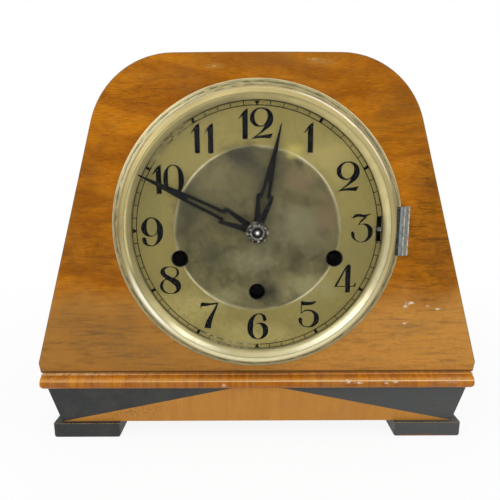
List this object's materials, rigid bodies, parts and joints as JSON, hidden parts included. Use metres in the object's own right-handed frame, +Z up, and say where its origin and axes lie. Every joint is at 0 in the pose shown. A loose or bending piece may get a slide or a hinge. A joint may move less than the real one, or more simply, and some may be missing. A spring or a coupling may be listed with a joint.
{
  "type": "mantel clock",
  "caption": "Wooden mantel clock with sloping sides, round shoulders, a hinged glazed bezel, an arabic dial and a chiming pendulum movement.",
  "frame": {"origin": "on the floor under the middle of the clock's bounding box", "axes": "+X to the viewer's right, +Y from the dial to the back, +Z up"},
  "size_m": [0.2966, 0.1564, 0.2518],
  "materials": {
    "walnut": "french polished veneer, worn",
    "moulding": "glossy polished moulding",
    "walnut_light": "polished veneer",
    "ebonised": "satin black stain, worn edges",
    "back_wood": "plain stained",
    "bezel_brass": "polished, tarnished at the rim",
    "dial_brass": "dull, tarnished centre",
    "brass": "satin",
    "nut_brass": "knurled, dark",
    "steel": "brushed",
    "tin_steel": "dull grey",
    "blacked_steel": "satin black",
    "gong_iron": "black paint",
    "glass": "clear convex"
  },
  "bodies": {
    "case": {"front_board": "walnut", "case_hood": "walnut", "base_moulding": "moulding", "plinth_frame": "ebonised", "plinth_front": "walnut_light", "plinth_wedges": "ebonised", "feet": "ebonised", "back_frame": "back_wood", "back_hinge_leaves": "brass", "case_hinge_leaf": "tin_steel", "dial_plate": "dial_brass", "front_plate": "brass", "back_plate": "brass", "pillars": "brass", "mount_screws": "steel", "hammer_frame": "steel", "gong_block": "gong_iron", "gong_rods": "steel"},
    "bezel": {"bezel_ring": "bezel_brass", "bezel_glass": "glass", "sight_ring": "bezel_brass", "bezel_hinge_leaf": "tin_steel"},
    "back_door": {"back_door": "back_wood", "door_hinge_leaves": "brass", "door_knob": "brass"},
    "minute_hand": {"minute_hand": "blacked_steel", "hand_nut": "nut_brass", "cannon_pinion": "steel"},
    "hour_hand": {"hour_hand": "blacked_steel", "hour_wheel": "brass"},
    "minute_wheel": {"minute_wheel": "brass"},
    "chime_silent_lever": {"chime_silent_lever": "steel"},
    "intermediate_wheel": {"intermediate_wheel": "brass"},
    "centre_wheel": {"centre_wheel": "brass"},
    "third_wheel": {"third_wheel": "brass"},
    "escape_wheel": {"escape_wheel": "brass"},
    "anchor": {"anchor": "steel"},
    "pendulum": {"pendulum_rod": "steel", "pendulum_bob": "brass"},
    "chime_drum": {"chime_drum": "brass"},
    "time_barrel": {"time_barrel": "brass", "time_mainspring": "steel"},
    "time_winding_arbor": {"time_winding_arbor": "steel"},
    "time_click": {"time_click": "steel"},
    "strike_barrel": {"strike_barrel": "brass", "strike_mainspring": "steel"},
    "strike_winding_arbor": {"strike_winding_arbor": "steel"},
    "strike_click": {"strike_click": "steel"},
    "chime_barrel": {"chime_barrel": "brass", "chime_mainspring": "steel"},
    "chime_winding_arbor": {"chime_winding_arbor": "steel"},
    "chime_click": {"chime_click": "steel"},
    "strike_second_wheel": {"strike_second_wheel": "brass"},
    "strike_fly": {"strike_fly": "brass"},
    "chime_second_wheel": {"chime_second_wheel": "brass"},
    "chime_fly": {"chime_fly": "brass"},
    "hammer_1": {"hammer_1": "brass"},
    "hammer_2": {"hammer_2": "brass"},
    "hammer_3": {"hammer_3": "brass"},
    "hammer_4": {"hammer_4": "brass"}
  },
  "joints": [
    {"name": "bezel_hinge", "type": "hinge", "parent": "case", "child": "bezel", "pos_m": [0.0936, -0.06, 0.1445], "axis": [0, 0, 1], "range_deg": [0, 115]},
    {"name": "back_door_hinge", "type": "hinge", "parent": "case", "child": "back_door", "pos_m": [-0.07465, 0.0692, 0.1445], "axis": [0, 0, 1], "range_deg": [0, 110]},
    {"name": "minute_hand_turn", "type": "hinge", "parent": "case", "child": "minute_hand", "pos_m": [0, 0, 0.1445], "axis": [0, 1, 0], "continuous": true},
    {"name": "hour_hand_turn", "type": "hinge", "parent": "case", "child": "hour_hand", "pos_m": [0, 0, 0.1445], "axis": [0, 1, 0], "continuous": true},
    {"name": "minute_wheel_turn", "type": "hinge", "parent": "case", "child": "minute_wheel", "pos_m": [0.0072, 0, 0.15697], "axis": [0, 1, 0], "continuous": true},
    {"name": "chime_silent_throw", "type": "hinge", "parent": "case", "child": "chime_silent_lever", "pos_m": [0.044, 0, 0.1453], "axis": [0, -1, 0], "range_deg": [-8, 8]},
    {"name": "third_wheel_turn", "type": "hinge", "parent": "case", "child": "third_wheel", "pos_m": [-0.00931, 0, 0.1631], "axis": [0, -1, 0], "continuous": true},
    {"name": "centre_wheel_turn", "type": "hinge", "parent": "case", "child": "centre_wheel", "pos_m": [0, 0, 0.1445], "axis": [0, -1, 0], "continuous": true},
    {"name": "escape_wheel_turn", "type": "hinge", "parent": "case", "child": "escape_wheel", "pos_m": [0, 0, 0.1785], "axis": [0, -1, 0], "continuous": true},
    {"name": "intermediate_wheel_turn", "type": "hinge", "parent": "case", "child": "intermediate_wheel", "pos_m": [0.01527, 0, 0.12922], "axis": [0, -1, 0], "continuous": true},
    {"name": "time_barrel_turn", "type": "hinge", "parent": "case", "child": "time_barrel", "pos_m": [0, 0, 0.1041], "axis": [0, -1, 0], "continuous": true},
    {"name": "strike_barrel_turn", "type": "hinge", "parent": "case", "child": "strike_barrel", "pos_m": [-0.0498, 0, 0.1263], "axis": [0, -1, 0], "continuous": true},
    {"name": "strike_second_wheel_turn", "type": "hinge", "parent": "case", "child": "strike_second_wheel", "pos_m": [-0.05566, 0, 0.15511], "axis": [0, -1, 0], "continuous": true},
    {"name": "strike_fly_turn", "type": "hinge", "parent": "case", "child": "strike_fly", "pos_m": [-0.0507, 0, 0.17241], "axis": [0, -1, 0], "continuous": true},
    {"name": "chime_barrel_turn", "type": "hinge", "parent": "case", "child": "chime_barrel", "pos_m": [0.0498, 0, 0.1263], "axis": [0, -1, 0], "continuous": true},
    {"name": "chime_second_wheel_turn", "type": "hinge", "parent": "case", "child": "chime_second_wheel", "pos_m": [0.05566, 0, 0.15511], "axis": [0, -1, 0], "continuous": true},
    {"name": "chime_fly_turn", "type": "hinge", "parent": "case", "child": "chime_fly", "pos_m": [0.0507, 0, 0.17241], "axis": [0, -1, 0], "continuous": true},
    {"name": "chime_drum_turn", "type": "hinge", "parent": "case", "child": "chime_drum", "pos_m": [0.05986, 0, 0.09867], "axis": [0, -1, 0], "continuous": true},
    {"name": "time_winding", "type": "hinge", "parent": "case", "child": "time_winding_arbor", "pos_m": [0, 0, 0.1041], "axis": [0, 1, 0], "continuous": true},
    {"name": "strike_winding", "type": "hinge", "parent": "case", "child": "strike_winding_arbor", "pos_m": [-0.0498, 0, 0.1263], "axis": [0, 1, 0], "continuous": true},
    {"name": "chime_winding", "type": "hinge", "parent": "case", "child": "chime_winding_arbor", "pos_m": [0.0498, 0, 0.1263], "axis": [0, 1, 0], "continuous": true},
    {"name": "time_click_lift", "type": "hinge", "parent": "case", "child": "time_click", "pos_m": [-0.0155, 0, 0.1041], "axis": [0, 1, 0], "range_deg": [0, 12], "stiffness_Nm_per_rad": 0.002},
    {"name": "strike_click_lift", "type": "hinge", "parent": "case", "child": "strike_click", "pos_m": [-0.03523, 0, 0.1316], "axis": [0, 1, 0], "range_deg": [0, 12], "stiffness_Nm_per_rad": 0.002},
    {"name": "chime_click_lift", "type": "hinge", "parent": "case", "child": "chime_click", "pos_m": [0.03523, 0, 0.1316], "axis": [0, -1, 0], "range_deg": [0, 12], "stiffness_Nm_per_rad": 0.002},
    {"name": "pendulum_swing", "type": "hinge", "parent": "case", "child": "pendulum", "pos_m": [0, 0, 0.194], "axis": [0, -1, 0], "range_deg": [-4, 4]},
    {"name": "anchor_swing", "type": "hinge", "parent": "case", "child": "anchor", "pos_m": [0, 0, 0.194], "axis": [0, -1, 0], "range_deg": [-4, 4]},
    {"name": "hammer_1_lift", "type": "hinge", "parent": "case", "child": "hammer_1", "pos_m": [0.034, 0, 0.0985], "axis": [0, 1, 0], "range_deg": [0, 15]},
    {"name": "hammer_2_lift", "type": "hinge", "parent": "case", "child": "hammer_2", "pos_m": [0.034, 0, 0.0985], "axis": [0, 1, 0], "range_deg": [0, 15]},
    {"name": "hammer_3_lift", "type": "hinge", "parent": "case", "child": "hammer_3", "pos_m": [0.034, 0, 0.0985], "axis": [0, 1, 0], "range_deg": [0, 15]},
    {"name": "hammer_4_lift", "type": "hinge", "parent": "case", "child": "hammer_4", "pos_m": [0.034, 0, 0.0985], "axis": [0, 1, 0], "range_deg": [0, 15]}
  ],
  "couplings": [
    {"joint": "minute_wheel_turn", "follows": "minute_hand_turn", "ratio": -0.33333},
    {"joint": "hour_hand_turn", "follows": "minute_hand_turn", "ratio": 0.083333},
    {"joint": "centre_wheel_turn", "follows": "third_wheel_turn", "ratio": -0.083333},
    {"joint": "escape_wheel_turn", "follows": "third_wheel_turn", "ratio": -10.25},
    {"joint": "intermediate_wheel_turn", "follows": "third_wheel_turn", "ratio": 0.016667},
    {"joint": "time_barrel_turn", "follows": "third_wheel_turn", "ratio": -0.0027778},
    {"joint": "strike_second_wheel_turn", "follows": "strike_barrel_turn", "ratio": -6},
    {"joint": "strike_fly_turn", "follows": "strike_barrel_turn", "ratio": 30},
    {"joint": "chime_second_wheel_turn", "follows": "chime_barrel_turn", "ratio": -6},
    {"joint": "chime_fly_turn", "follows": "chime_barrel_turn", "ratio": 30},
    {"joint": "chime_drum_turn", "follows": "chime_barrel_turn", "ratio": -6},
    {"joint": "anchor_swing", "follows": "pendulum_swing", "ratio": 1}
  ]
}
